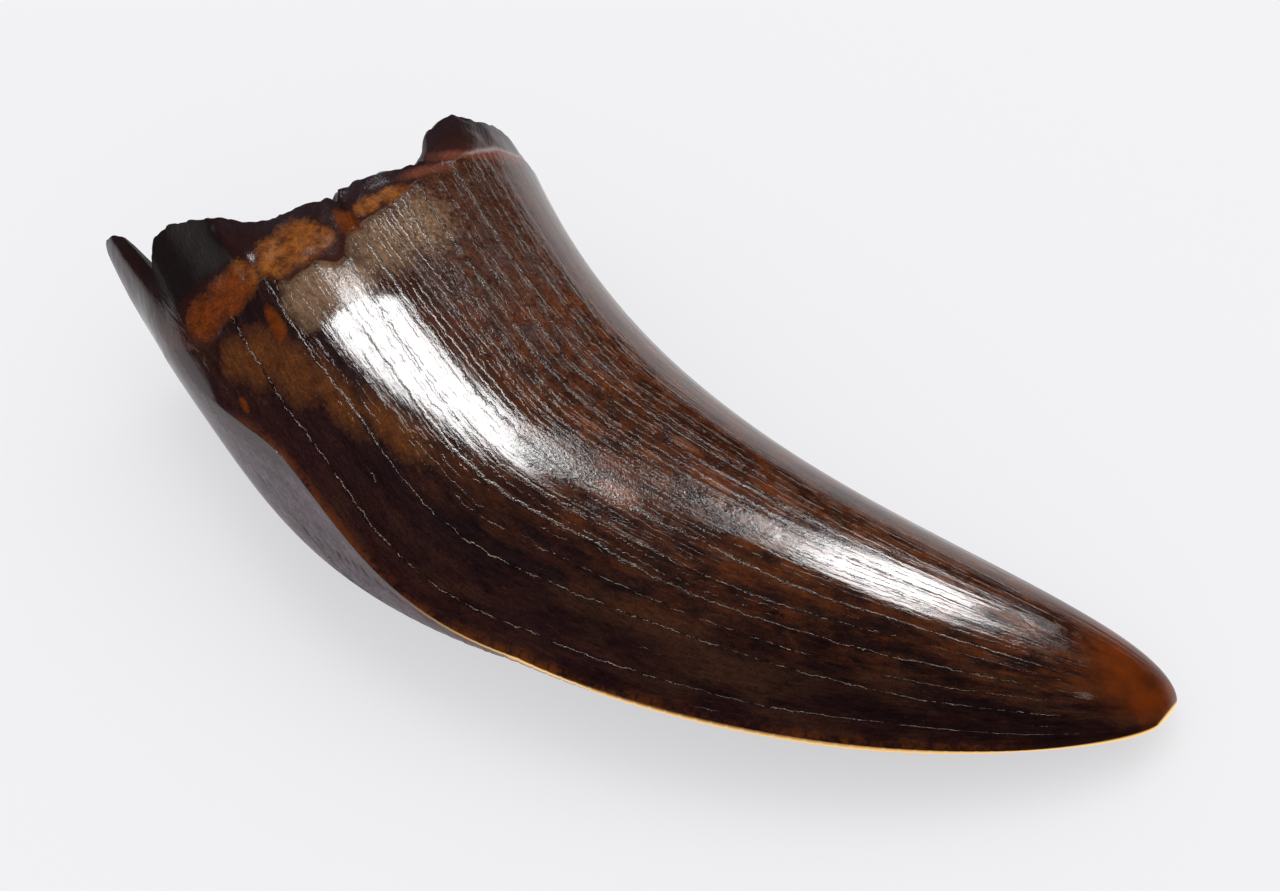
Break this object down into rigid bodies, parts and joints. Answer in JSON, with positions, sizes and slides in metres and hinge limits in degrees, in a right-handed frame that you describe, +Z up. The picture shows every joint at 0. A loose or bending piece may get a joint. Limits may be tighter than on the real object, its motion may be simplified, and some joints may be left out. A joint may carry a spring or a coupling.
{
  "type": "fossil tyrannosaurus tooth",
  "caption": "Curved, flattened fossil tooth crown with two serrated cutting edges, broken off at the root end across its hollow pulp cavity.",
  "frame": {"origin": "on the floor the tooth lies on, under the middle of its box", "axes": "+Z up, away from the floor; +X along the tooth towards its tip; the convex front edge faces -Y"},
  "size_m": [0.0331, 0.0158, 0.0074],
  "materials": {
    "fossil_enamel": "gloss"
  },
  "bodies": {
    "root": {"tooth": "fossil_enamel"}
  },
  "joints": []
}
